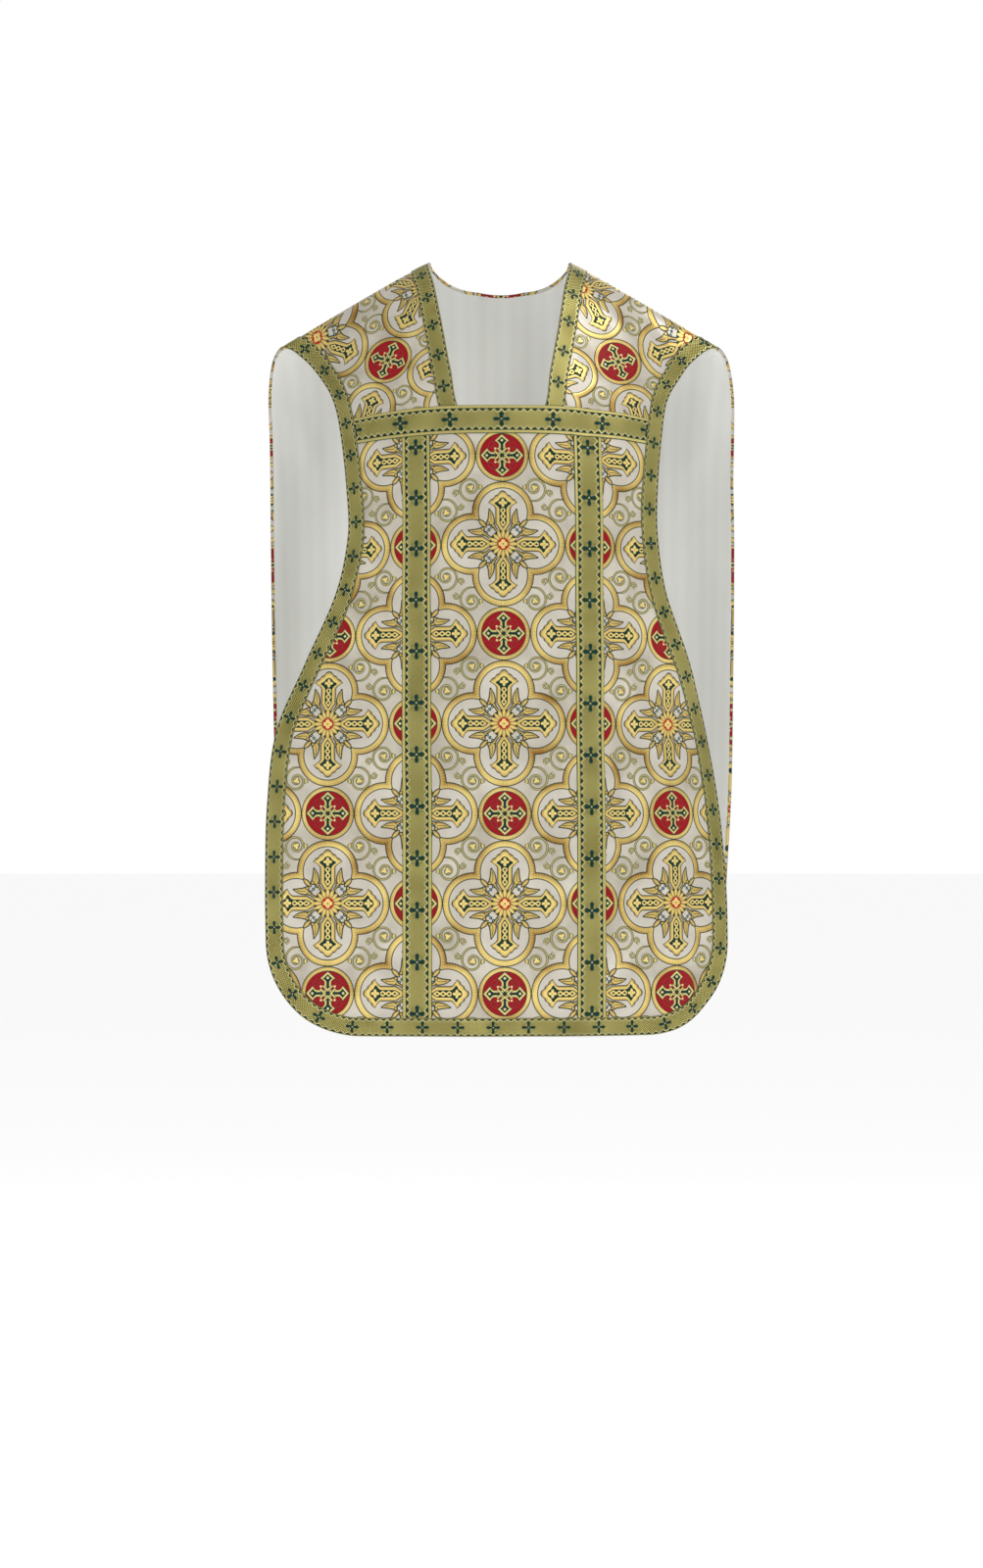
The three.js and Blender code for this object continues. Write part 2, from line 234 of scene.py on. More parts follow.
def rows_across(runs, low, high, columns):
    """Flat rows at the given runs, from one edge to the other."""
    share = np.linspace(0, 1, columns + 1)
    across = low[:, None] + (high - low)[:, None] * share
    return np.stack([across, np.repeat(runs[:, None], columns + 1, axis=1)], axis=-1)


def front_rows(step, inset=0.0):
    """The front, from its hem to the chest seam."""
    turn = corner_runs(FRONT_HEM, 1, CORNER_ROWS, inset)[::-1]
    runs = np.concatenate([turn, even(FRONT_HEM + CORNER_RADIUS, CHEST_SEAM, step)[1:]])
    edge = side_edge(runs, inset)
    return rows_across(runs, -edge, edge, round(FRONT_SPAN / step))


def yoke_rows(sign, step, inset=0.0):
    """A yoke piece, from the chest seam over the shoulder. The sign is that of its side of the body."""
    runs = even(CHEST_SEAM, SHOULDER_SEAM, step)
    inner, outer = measure("neck", runs) + inset, side_edge(runs, inset)
    low, high = (inner, outer) if sign > 0 else (-outer, -inner)
    return rows_across(runs, low, high, round(YOKE_SPAN / step))


LEVEL_RUN = 210 * MM
CROWDING = 1.5  # the rows stand closer together towards the shoulder


def neckline(angle, inset=0.0):
    """The back neckline, as half of an oval round the nape."""
    half = measure("neck", SHOULDER_SEAM) + inset
    drop = NAPE - SHOULDER_SEAM + inset
    return np.stack([-half * np.cos(angle), SHOULDER_SEAM + drop * np.sin(angle)], axis=-1)


def back_rows(step, inset=0.0):
    """The back. Its first row follows the shoulder seams and the neckline, and the next ones ease level."""
    round_neck = neckline(np.linspace(0, math.pi, round(NECK_SPAN / step) + 1), inset)
    seam = even(round_neck[-1, 0], side_edge(SHOULDER_SEAM, inset), step)
    left = np.stack([seam, np.full(len(seam), SHOULDER_SEAM)], axis=-1)
    right = left[::-1] * (-1, 1)
    top = np.concatenate([right, round_neck[1:-1], left])
    share = np.linspace(-1, 1, len(top))
    rows = []
    for t in np.linspace(0, 1, round(BLADES_SPAN / step) + 1) ** CROWDING:
        run = top[:, 1] * (1 - t) + LEVEL_RUN * t
        own = top[:, 0] / side_edge(top[:, 1], inset) * (1 - t) + share * t
        rows.append(np.stack([own * side_edge(run, inset), run], axis=-1))
    lower = even(LEVEL_RUN, BACK_HEM - CORNER_RADIUS, step)[1:]
    runs = np.concatenate([lower, corner_runs(BACK_HEM, -1, CORNER_ROWS, inset)[1:]])
    edge = side_edge(runs, inset)
    return np.concatenate([np.array(rows), rows_across(runs, -edge, edge, len(top) - 1)])


def edge_path(hem, inwards, step):
    """The cut edge from the seam on the right shoulder down, along the hem and up to the left shoulder."""
    down = even(SHOULDER_SEAM, hem + inwards * CORNER_RADIUS, step)
    turn = corner_runs(hem, inwards, CORNER_POINTS)[1:-1]
    runs = np.concatenate([down, turn])
    right = np.stack([-side_edge(runs), runs], axis=-1)
    half = side_edge(np.array(hem))
    foot = even(-half, half, step)
    along = np.stack([foot, np.full(len(foot), hem)], axis=-1)
    return np.concatenate([right, along, right[::-1] * (-1, 1)])


def neck_path(step):
    """The neck edge, from the chest band up over one shoulder, round the nape and down the other side."""
    runs = even(BAND_TOP + BUTT, SHOULDER_SEAM, step)
    right = np.stack([-measure("neck", runs), runs], axis=-1)
    nape = neckline(np.linspace(0, math.pi, NAPE_POINTS))[1:-1]
    return np.concatenate([right, nape, right[::-1] * (-1, 1)])


def strip(path, width, side, strands, highest=9.0):
    """Flat rows of a strip beside a path, to the left of it, or to the right where side is -1. strands are
    shares of the width. An end that comes to a seam is cut level with it."""
    rows = []
    for n, point in enumerate(path):
        ahead = path[min(n + 1, len(path) - 1)] - path[max(n - 1, 0)]
        square = np.array([-ahead[1], ahead[0]]) * side
        square /= np.hypot(*square)
        slant = 1.0
        if n in (0, len(path) - 1) and abs(square[0]) > abs(square[1]):
            slant, square = abs(square[0]), np.array([np.sign(square[0]), 0.0])
        tip = place(*(point + square * MM)) - place(*point)
        reach = np.linalg.norm(tip) / MM
        row = point + square * np.array(strands)[:, None] * (width / reach / slant)
        row[:, 1] = np.minimum(row[:, 1], highest)
        rows.append(row)
    rows = np.array(rows)
    return rows if side < 0 else rows[:, ::-1]


def along_rows(rows):
    """The length of cloth from the first row to each one, along the middle."""
    middle = hang(rows.mean(axis=1), np.zeros(len(rows)))
    return np.concatenate([[0], np.cumsum(np.linalg.norm(np.diff(middle, axis=0), axis=1))])


# ---------------------------------------------------------------- sewing


cuts, woven_widths = {}, {}


def made_up(name, bm, finish):
    """The piece that a bmesh holds, in the frame of the solids."""
    mesh = bpy.data.meshes.new(name)
    bm.to_mesh(mesh)
    bm.free()
    mesh.materials.append(finish)
    piece = bpy.data.objects.new(name, mesh)
    bpy.context.scene.collection.objects.link(piece)
    return piece


def flat_size(name):
    """The width, length and area in metres that a piece is cut to, measured along its cloth. A galloon has
    the width that it is woven to."""
    worn = hang(cuts[name], np.zeros(cuts[name].shape[:2]))
    over, down = np.diff(worn, axis=1), np.diff(worn, axis=0)
    wide = np.linalg.norm(over, axis=2).sum(axis=1)
    long = np.linalg.norm(down, axis=2).sum(axis=0)
    corners = np.cross(over[:-1], down[:, :-1]), np.cross(over[1:], down[:, 1:])
    area = sum(np.linalg.norm(corner, axis=2).sum() for corner in corners) / 2
    width, length = round(float(woven_widths.get(name, wide.max())), 3), round(float(long.max()), 3)
    return width, length, min(round(float(area), 4), width * length)


def sew(name, rows, weave, finish, foot, top, node=None):
    """A piece of cloth, cut flat on a grid of rows, thickened and hung. foot and top are its two faces'
    heights above the inner face of the brocade, one number or one for each point."""
    cuts[name] = rows
    bm = bmesh.new()
    down, wide = rows.shape[0] - 1, rows.shape[1] - 1
    bmesh.ops.create_grid(bm, x_segments=wide, y_segments=down, size=1)
    at = bm.verts.layers.int.new("place in the cut")
    for v in bm.verts:
        i, j = round((v.co.x + 1) / 2 * wide), round((v.co.y + 1) / 2 * down)
        v[at] = j * (wide + 1) + i
    lower = list(bm.verts)
    made = bmesh.ops.extrude_face_region(bm, geom=bm.faces[:], use_keep_orig=True)
    upper = [g for g in made["geom"] if isinstance(g, bmesh.types.BMVert)]
    under = set(lower)
    size = rows.shape[:2]
    for verts, height in ((lower, foot), (upper, top)):
        worn = hang(rows, np.broadcast_to(height, size)).reshape(-1, 3)
        for v in verts:
            v.co = worn[v[at]]
    bmesh.ops.recalc_face_normals(bm, faces=bm.faces[:])
    if bm.calc_volume(signed=True) < 0:
        bmesh.ops.reverse_faces(bm, faces=bm.faces[:])
    uv = bm.loops.layers.uv.new("weave")
    cloth = weave.reshape(-1, 2)
    for f in bm.faces:
        f.smooth = True
        rim = len({v in under for v in f.verts}) == 2
        for loop in f.loops:
            loop[uv].uv = cloth[loop.vert[at]]
            if rim and (loop.vert in under) == (loop.link_loop_next.vert in under):
                loop.edge.smooth = False
    bm.verts.layers.int.remove(at)
    piece = made_up(name, bm, finish)
    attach(piece, "root")
    if node:
        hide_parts(node)
    return piece


# ---------------------------------------------------------------- the weaver's charts


def dye(red, green, blue):
    """A thread's colour, from 0 to 255 on a screen, as Blender wants it."""
    parts = [v / 255 for v in (red, green, blue)]
    return tuple(v / 12.92 if v <= 0.04045 else ((v + 0.055) / 1.055) ** 2.4 for v in parts) + (1.0,)


class Reading:
    """A number read off a weaver's chart at each point of the cloth."""

    def __init__(self, tree, socket):
        self.tree, self.socket = tree, socket

    def work(self, operation, *others, clamp=False):
        node = self.tree.nodes.new("ShaderNodeMath")
        node.operation, node.use_clamp = operation, clamp
        for slot, value in zip(node.inputs, (self, *others)):
            if isinstance(value, Reading):
                self.tree.links.new(value.socket, slot)
            else:
                slot.default_value = value
        return Reading(self.tree, node.outputs[0])

    def __add__(self, other):
        return self.work("ADD", other)

    def __sub__(self, other):
        return self.work("SUBTRACT", other)

    def __mul__(self, other):
        return self.work("MULTIPLY", other)

    def __truediv__(self, other):
        return self.work("DIVIDE", other)

    def __abs__(self):
        return self.work("ABSOLUTE")

    def scaled(self, by, plus):
        return self.work("MULTIPLY_ADD", by, plus)

    def lesser(self, other):
        return self.work("MINIMUM", other)

    def greater(self, other):
        return self.work("MAXIMUM", other)

    def melted(self, other, reach=0.022):
        """The lesser, run softly into the other where the two meet."""
        return self.work("SMOOTH_MIN", other, reach)

    def ramp(self, start, end):
        """0 at the start and 1 at the end, and held past them."""
        return self.work("MULTIPLY_ADD", 1 / (end - start), -start / (end - start), clamp=True)

    def inside(self, edge=0.006):
        """1 where a distance is below zero, with a soft edge."""
        return self.work("MULTIPLY_ADD", -1 / edge, 0.5, clamp=True)

    def wave(self, often, shift=0.0):
        return self.scaled(often, shift).work("SINE")

    def zigzag(self, half_pitch):
        """Up and down between 0 and half a pitch: the distance to the nearest whole pitch."""
        return self.work("PINGPONG", half_pitch)


def span(x, y):
    return (x * x + y * y).work("SQRT")


class Chart:
    """A woven cloth: a ground with figures woven in one after another, each with its dye and its shine."""

    def __init__(self, name, ground, shine, roughness):
        self.material = bpy.data.materials.new(name)
        self.material.use_nodes = True
        self.tree = self.material.node_tree
        self.shader = self.tree.nodes["Principled BSDF"]
        self.shader.inputs["Roughness"].default_value = roughness
        self.shader.inputs["Specular IOR Level"].default_value = SPECULAR
        self.colour, self.shine = ground, shine

    def weave_map(self):
        node = self.tree.nodes.new("ShaderNodeUVMap")
        node.uv_map = "weave"
        parts = self.tree.nodes.new("ShaderNodeSeparateXYZ")
        self.tree.links.new(node.outputs[0], parts.inputs[0])
        self.map = node.outputs[0]
        return Reading(self.tree, parts.outputs[0]), Reading(self.tree, parts.outputs[1])

    def noise(self, scale, detail=2.0, stretch=None, on_map=False):
        """Soft unevenness, on the cloth's place in space or on its weave."""
        if on_map:
            where = self.map
        else:
            where = self.tree.nodes.new("ShaderNodeTexCoord").outputs["Object"]
        if stretch:
            node = self.tree.nodes.new("ShaderNodeMapping")
            node.inputs["Scale"].default_value = stretch
            self.tree.links.new(where, node.inputs[0])
            where = node.outputs[0]
        node = self.tree.nodes.new("ShaderNodeTexNoise")
        node.inputs["Scale"].default_value = scale
        node.inputs["Detail"].default_value = detail
        self.tree.links.new(where, node.inputs["Vector"])
        return Reading(self.tree, node.outputs["Fac"])

    def _into(self, slot, value):
        if isinstance(value, Reading):
            value = value.socket
        if isinstance(value, bpy.types.NodeSocket):
            self.tree.links.new(value, slot)
        else:
            slot.default_value = value

    def blend(self, share, one, other):
        """A dye between two others."""
        node = self.tree.nodes.new("ShaderNodeMix")
        node.data_type = "RGBA"
        self._into(node.inputs[0], share)
        self._into(node.inputs[6], one)
        self._into(node.inputs[7], other)
        return node.outputs[2]

    def figure(self, share, colour, shine=None):
        """Weaves a figure in over what is there."""
        self.colour = self.blend(share, self.colour, colour)
        if shine is not None:
            node = self.tree.nodes.new("ShaderNodeMix")
            self._into(node.inputs[0], share)
            self._into(node.inputs[2], self.shine)
            self._into(node.inputs[3], shine)
            self.shine = Reading(self.tree, node.outputs[0])

    def finish(self, relief=None, depth=0.0, strength=1.0):
        self._into(self.shader.inputs["Base Color"], self.colour)
        self._into(self.shader.inputs["Metallic"], self.shine)
        if relief is not None:
            node = self.tree.nodes.new("ShaderNodeBump")
            node.inputs["Distance"].default_value = depth
            node.inputs["Strength"].default_value = strength
            self._into(node.inputs["Height"], relief)
            self.tree.links.new(node.outputs[0], self.shader.inputs["Normal"])
        return self.material


# The first gold is painted shade on satin gold; the second is its painted highlight and also the plain pale
# gold of small figures.
GOLD_PAINTED_SHADE, GOLD_PALE_AND_HIGHLIGHT = dye(150, 101, 32), dye(255, 229, 142)
DARK_GREEN, OLIVE = dye(12, 50, 42), dye(92, 98, 58)
SILVER_LOW, SILVER_HIGH = dye(174, 166, 148), dye(238, 231, 216)
CRIMSON, PALE_BLUE = dye(178, 3, 22), dye(158, 186, 186)
GOLD_SHINE, SILVER_SHINE, SILK_SHINE = 0.62, 0.3, 0.0
OUTLINE = 0.0105  # how far the dark thread stands round the arms and leaves, in half repeats
SPECULAR = 0.22  # low for all the threads, so that the silks keep their depth of colour


def shaded_small_gold(chart, distance, flecks):
    """The gold of a small figure, with painted shade that deepens towards its outline as on raised gold, and
    fine grain at random.
    """
    painted_shading = distance.scaled(-26.0, 0.3) + (flecks - 0.5) * 1.1
    return chart.blend(painted_shading.lesser(1.0).greater(0.0), dye(170, 126, 50), GOLD_PALE_AND_HIGHLIGHT)


def brocade():
    """Silver ground with gold quatrefoils round fleury crosses, crimson roundels, and scrolls between. The
    weave map is in half repeats: a quatrefoil where the two whole numbers add up even, a roundel where odd.
    """
    chart = Chart("silver and gold brocade", SILVER_LOW, SILVER_SHINE, 0.39)
    u, v = chart.weave_map()
    # Painted sheen: soft clouds of lighter and darker silver at random over the garment, as on lamé, under
    # the fine grain of the threads.
    sheen_clouds = chart.noise(24.0, 3.0)
    flecks = chart.noise(150.0, 2.0, (1.0, 1.8, 1.0), on_map=True)
    chart.colour = chart.blend((sheen_clouds * 0.6 + flecks * 0.7).ramp(0.45, 0.85), SILVER_LOW, SILVER_HIGH)
    filling = v.wave(2 * math.pi * 66)

    # Scrolls, in pairs about the middle of each square of the lattice: a coil that tightens evenly, a hooked
    # branch, a leaf at the heart of the coil and a pointed leaf outside it.
    cell_u, cell_v = u.work("FLOOR"), v.work("FLOOR")
    odd = (cell_u + cell_v).zigzag(1.0)
    gx = (u - cell_u - 0.5) * odd.scaled(-2.0, 1.0)
    gy = v - cell_v - 0.5
    turned = (gy - gx).work("SIGN")
    gx, gy = gx * turned, gy * turned
    px, py = gx + 0.142, gy - 0.136
    radius = span(px, py)
    turns = py.work("ARCTAN2", px) * (1 / (2 * math.pi))
    tightening = 0.93
    winding = radius.work("LOGARITHM", math.e) * (1 / tightening) + turns + 2.27
    coil = winding.zigzag(0.5) * radius * tightening
    coil = coil.greater(radius - 0.146).greater(radius.scaled(-1.0, 0.046))
    hook_x, hook_y = gx - 0.024, gy - 0.076
    hook = abs(span(hook_x, hook_y) - 0.03).greater(hook_y.scaled(-1.0, -0.016) - hook_x * 0.9)
    ball = span(gx - 0.034, gy - 0.062) - 0.004
    stem = coil.lesser(hook).lesser(ball)
    leaf_x, leaf_y = gx + 0.262, gy - 0.142
    leaf = (abs(leaf_y) * 1.3 - leaf_x * 0.6 - 0.018).greater(leaf_x - 0.02)
    leaf = leaf.greater(leaf_x.scaled(-0.6, 0.006) - abs(leaf_y))
    heart = radius - turns.wave(6 * math.pi, 0.7) * 0.009 - 0.027
    chart.figure((stem - 0.0135).inside(), OLIVE, 0.1)
    chart.figure((leaf - 0.009).inside(), OLIVE, 0.1)
    chart.figure((heart - 0.009).inside(), OLIVE, 0.1)
    chart.figure((stem - 0.0045).inside(0.005), dye(214, 196, 130), 0.35)
    chart.figure(leaf.inside(), GOLD_PALE_AND_HIGHLIGHT, GOLD_SHINE)
    chart.figure(heart.inside(), GOLD_PALE_AND_HIGHLIGHT, GOLD_SHINE)

    # Distances from the middle of the nearest quatrefoil: m along the nearer arm, n aside from it.
    s, t = (u + v) * 0.5, (u - v) * 0.5
    ds, dt = s - s.work("ROUND"), t - t.work("ROUND")
    x, y = abs(ds + dt), abs(ds - dt)
    m, n = x.greater(y), x.lesser(y)

    # The ring of four lobes, in satin gold with painted light and shade: painted highlights along fine ribs
    # and slowly round the ring, painted shade towards the edges of the band and deepest on its outer side,
    # and the painted sheen clouds over it.
    lobe_x = m - 0.355
    lobe = span(lobe_x, n)
    ring = abs(lobe - 0.309)
    ribs = n.work("ARCTAN2", lobe_x)
    painted_shading = ribs.wave(67.0).scaled(0.1, 0.66) + ribs.wave(3.0, 0.4) * 0.16 - (lobe - 0.309) * 8.0 - ring * 5.0
    painted_shading = (painted_shading + (sheen_clouds - 0.5) * 1.5 + (flecks - 0.5) * 0.7).lesser(1.0).greater(0.0)
    gold = chart.blend(painted_shading, GOLD_PAINTED_SHADE, GOLD_PALE_AND_HIGHLIGHT)
    chart.figure((lobe - 0.273).inside() * 0.35, dye(226, 220, 210))
    chart.figure((ring - 0.0395).inside(), DARK_GREEN, SILK_SHINE)
    chart.figure((ring - 0.0285).inside(), gold, GOLD_SHINE)

    # The flame leaves between the arms, and the bud on each diagonal.
    t = m.ramp(0.25, 0.386)
    spine = abs(n - t * t.scaled(0.034, -0.018) - 0.136)
    tongue = spine - t * t.scaled(-0.036, 0.006) - 0.03
    tongue = tongue.greater(m.scaled(-1.0, 0.25).greater(m - 0.386))
    heel = span(m - 0.25, n - 0.136) - 0.034
    knob = span(m - 0.228, n - 0.17)
    foot = span(m - 0.204, n - 0.112) - 0.017
    flame = tongue.melted(heel).melted(knob - 0.014).melted(foot)
    along, aside = (m + n) * 0.7071, (m - n) * 0.7071
    bud = (along - 0.325) * (1 / 0.058)
    bud = aside - (bud * bud).scaled(-0.02, 0.02)
    stalk = abs(n - m * 0.72 + 0.036) * 0.81
    stalk = (stalk - 0.0075).greater(m - 0.204)
    leaves = flame.lesser(bud).lesser(stalk)
    chart.figure((leaves - OUTLINE).inside(), DARK_GREEN, SILK_SHINE)
    chart.figure((leaves + 0.002).inside(), shaded_small_gold(chart, leaves * 0.8, flecks), GOLD_SHINE)
    vein = spine.greater(m - 0.345).greater(m.scaled(-1.0, 0.244))
    chart.figure((vein - 0.004).inside(), DARK_GREEN, SILK_SHINE)
    curl = abs(knob - 0.0195).greater(n - m * 0.8 + 0.028) - 0.004
    chart.figure(curl.inside(), DARK_GREEN, SILK_SHINE)

    # The fleury arms.
    head_at, head_long, head_half, bevel = 0.462, 0.134, 0.157, 0.102
    scallop = n.wave(6 * math.pi / head_half, 1.2) * 0.004
    head = (m - head_at) * (bevel / head_long) + n * (bevel / head_half) - bevel + scallop
    flare = m.ramp(0.388, head_at)
    body = n - flare * flare * 0.078 - 0.076
    tail = (n - m * 0.64 + 0.0706) * 0.84
    arm = head.greater(body).greater(tail)
    chart.figure((arm - OUTLINE).inside(), DARK_GREEN, SILK_SHINE)
    chart.figure(arm.inside(), shaded_small_gold(chart, arm, flecks), GOLD_SHINE)
    hollow = (head + 0.048).greater(body + 0.034).greater(tail + 0.03)
    chart.figure(hollow.inside(), DARK_GREEN, SILK_SHINE)
    twist = abs(n - (m - 0.205).zigzag(0.034) * 0.7)
    twist = twist.greater(abs(m - 0.3) - 0.092)
    chart.figure((twist - 0.009).inside(), GOLD_PALE_AND_HIGHLIGHT, GOLD_SHINE)
    out = abs(m - head_at)
    bloom = span(out.greater(n) - 0.026, out.lesser(n) * 1.35) - 0.022
    # The bloom takes the ring's gold, with its painted light and shade.
    chart.figure(bloom.inside(), gold, GOLD_SHINE)

    # The rayed middle: sixteen petals, longer on the arms, with small beads outside them.
    r = span(m, n)
    angle = n.work("ARCTAN2", m)
    chart.figure((r - 0.155).inside(), DARK_GREEN, SILK_SHINE)
    bead = span(m - 0.188, n - 0.128).lesser(span(m - 0.158, n - 0.158))
    chart.figure((bead - 0.018).inside(), DARK_GREEN, SILK_SHINE)
    chart.figure((bead - 0.0065).inside(), PALE_BLUE, SILK_SHINE)
    rho = (r + n * 0.24 - 0.056) * (1 / 0.13)
    petal = angle.zigzag(math.pi / 16) * r - rho * rho.scaled(-1.0, 1.0) * 0.08
    chart.figure(petal.inside(), shaded_small_gold(chart, petal * 1.6, flecks), GOLD_SHINE)
    chart.figure((r - 0.066).inside(), CRIMSON, SILK_SHINE)
    floret = (span(m - 0.029, n) - 0.0235).greater(r.scaled(-1.0, 0.009))
    chart.figure(floret.inside(), GOLD_PALE_AND_HIGHLIGHT, GOLD_SHINE)

    # The roundels, where m is near 1.
    rx = m.scaled(-1.0, 1.0)
    rr = span(rx, n)
    rim = abs(rr - 0.2715)
    chart.figure((rr - 0.3).inside(), DARK_GREEN, SILK_SHINE)
    # The rim in satin gold with painted light and shade: painted highlights along fine ribs, painted shade
    # towards its outer side, and the painted sheen clouds over it.
    round_rib_highlights = n.work("ARCTAN2", rx).wave(57.0).scaled(0.09, 0.7)
    round_painted_shading = round_rib_highlights + (sheen_clouds - 0.5) * 1.5 - (rr - 0.267) * 8.0
    round_painted_shading = round_painted_shading.lesser(1.0).greater(0.0)
    chart.figure((rim - 0.0185).inside(), chart.blend(round_painted_shading, GOLD_PAINTED_SHADE, GOLD_PALE_AND_HIGHLIGHT), GOLD_SHINE)
    silk = chart.blend(flecks.ramp(0.35, 0.7), CRIMSON, dye(132, 8, 22))
    chart.figure((rr - 0.244).inside(), silk, SILK_SHINE)
    sprig = abs(span(rx - 0.13, n - 0.11) - 0.026) - 0.004
    chart.figure(sprig.inside() * 0.75, dye(70, 70, 56), SILK_SHINE)
    point = (rx - 0.168) * (0.05 / 0.07) + n * (0.05 / 0.078) - 0.05
    swell = rx.ramp(0.118, 0.168)
    small_arm = point.greater(n - swell * swell * 0.045 - 0.034)
    chart.figure((small_arm - 0.0095).inside(), DARK_GREEN, SILK_SHINE)
    chart.figure(small_arm.inside(), dye(238, 220, 142), GOLD_SHINE)
    chart.figure((small_arm + 0.0185).inside(), DARK_GREEN, SILK_SHINE)
    knot = abs(abs((rx - n) * 0.7071) - 0.024).greater(rr - 0.088)
    chart.figure((knot - 0.0165).inside() * (rr - 0.09).inside(), DARK_GREEN, SILK_SHINE)
    chart.figure((knot - 0.0085).inside(), dye(238, 220, 142), GOLD_SHINE)
    gems = (span(rx - 0.076, n - 0.076) - 0.013).lesser(span(rx - 0.172, n) - 0.014)
    chart.figure(gems.inside(), dye(240, 228, 170), GOLD_SHINE)

    # The raised gold, and the fine ribs of the ground.
    raised = (ring - 0.0265).inside(0.02).greater(arm.inside(0.03)).greater((rr - 0.29).inside(0.02))
    raised = raised.greater(leaves.inside(0.02))
    return chart.finish(raised + filling * 0.06, 0.35 * MM, 0.7)


def galloon(name, teeth, tooth, tooth_foot, arm, arm_along, arm_half, grain):
    """Gold braid with green crosses along it, green teeth and a cord at each edge. The weave map is in half
    widths: along the braid, and aside from its middle. There is one cross for so many teeth."""
    chart = Chart(name, dye(168, 150, 74), 0.5, 0.38)
    s, w = chart.weave_map()
    e = abs(w)
    uneven_sheen = chart.noise(30.0, 3.0)
    glints = chart.noise(9.0 / grain, 2.0, on_map=True)
    # Small woven lozenges, each brighter towards its middle as a painted sheen on its rise, with painted
    # glints and a painted sheen at random over them.
    one, two = ((s + w) * (1 / grain)).zigzag(0.5), ((s - w) * (1 / grain)).zigzag(0.5)
    lozenge = one.lesser(two) * 2.0
    light = (lozenge * 0.9 + (glints - 0.5) * 1.6 + (uneven_sheen - 0.5) * 0.4).ramp(0.15, 0.75)
    chart.colour = chart.blend(light, dye(92, 84, 30), dye(238, 228, 142))
    # Teeth along both sides, between a light zigzag and the edge cord.
    rise = s.zigzag(tooth / 2) * (2 / tooth)
    tips = e + rise * 0.25
    pale = dye(236, 224, 156)
    chart.figure((abs(tips - (tooth_foot - 0.035)) - 0.034).inside(0.02), pale, 0.5)
    chart.figure(tips.scaled(-1.0, tooth_foot).inside(0.02), DARK_GREEN, SILK_SHINE)
    chart.figure(e.scaled(-1.0, tooth_foot + 0.005).inside(0.02), dye(104, 92, 38), 0.3)
    strand = ((s * 3.0 + w * 4.0).zigzag(0.25) * 4.0).ramp(0.15, 0.9)
    cord = chart.blend(strand, dye(160, 146, 72), dye(234, 222, 148))
    middle = (tooth_foot + 0.99) / 2
    chart.figure((abs(e - middle) - (0.93 - tooth_foot) / 2).inside(0.02), cord, 0.45)
    chart.figure(e.scaled(-1.0, 0.966).inside(0.01), dye(62, 88, 50), SILK_SHINE)
    # Crosses with budded arms, a light stitch at the middle and a tick in each corner.
    c = s.zigzag(teeth * tooth / 2) * (arm / arm_along)
    cm, cn = c.greater(e), c.lesser(e)
    swelling = (cm - arm * 0.7) * (1 / (arm * 0.34))
    swelling = (swelling * swelling).scaled(-1.0, 1.0).greater(0.0)
    cross = (cn - swelling * 0.04 - arm_half).greater(cm - arm + cn * 0.5)
    tick = abs(cn - arm_half * 2.7).greater(abs(cm - arm * 0.56) - arm * 0.2)
    chart.figure((tick - 0.03).inside(0.02) * 0.6, dye(60, 84, 44), SILK_SHINE)
    chart.figure(cross.inside(0.02), dye(6, 52, 44), SILK_SHINE)
    chart.figure((span(cm, cn) - arm_half * 0.5).inside(0.02), dye(226, 222, 170), 0.3)
    relief = lozenge * 0.7 + cross.inside(0.08) * 0.5 + strand * (e - tooth_foot).ramp(0.0, 0.02)
    return chart.finish(relief, 0.3 * MM, 0.8)


def thread(name, low, high):
    """Twisted sewing thread."""
    chart = Chart(name, low, 0.15, 0.5)
    twist = (chart.noise(420.0, 2.0)).ramp(0.35, 0.65)
    chart.colour = chart.blend(twist, low, high)
    return chart.finish(twist, 0.1 * MM, 0.6)


def satin():
    """Pale satin with faint stripes down it. The weave map is in metres."""
    chart = Chart("pale lining satin", dye(238, 238, 234), 0.0, 0.45)
    a, r = chart.weave_map()
    drift = chart.noise(9.0, 2.0)
    stripe = a.wave(2 * math.pi / 0.019) * 0.25 + a.wave(2 * math.pi / 0.0525, 1.0) * 0.3
    cloud = (stripe + (drift - 0.5) * 2.0).scaled(0.5, 0.5)
    chart.colour = chart.blend(cloud.lesser(1.0).greater(0.0), dye(233, 233, 228), dye(245, 245, 242))
    chart.shader.inputs["Sheen Weight"].default_value = 0.1
    chart.shader.inputs["Sheen Roughness"].default_value = 0.4
    threads = a.wave(2 * math.pi / 0.0009) * 0.35 + r.wave(2 * math.pi / 0.0011) * 0.25
    rumple = chart.noise(38.0, 3.0, (1.0, 1.0, 0.35))
    return chart.finish(threads * 0.25 + rumple * 2.6, 0.5 * MM, 0.45)


BROCADE, SATIN = brocade(), satin()
GOLD_THREAD = thread("gold sewing thread", dye(176, 152, 78), dye(238, 222, 150))
PALE_THREAD = thread("pale sewing thread", dye(214, 212, 200), dye(240, 240, 234))
WIDE_TOOTH, NARROW_TOOTH = 3.52 / 7, 3.82 / 5
NARROW = galloon("narrow gold galloon", 5, NARROW_TOOTH, 0.9, 0.68, 0.74, 0.12, 0.27)
WIDE = galloon("wide gold galloon", 7, WIDE_TOOTH, 0.755, 0.52, 0.6, 0.1, 0.185)

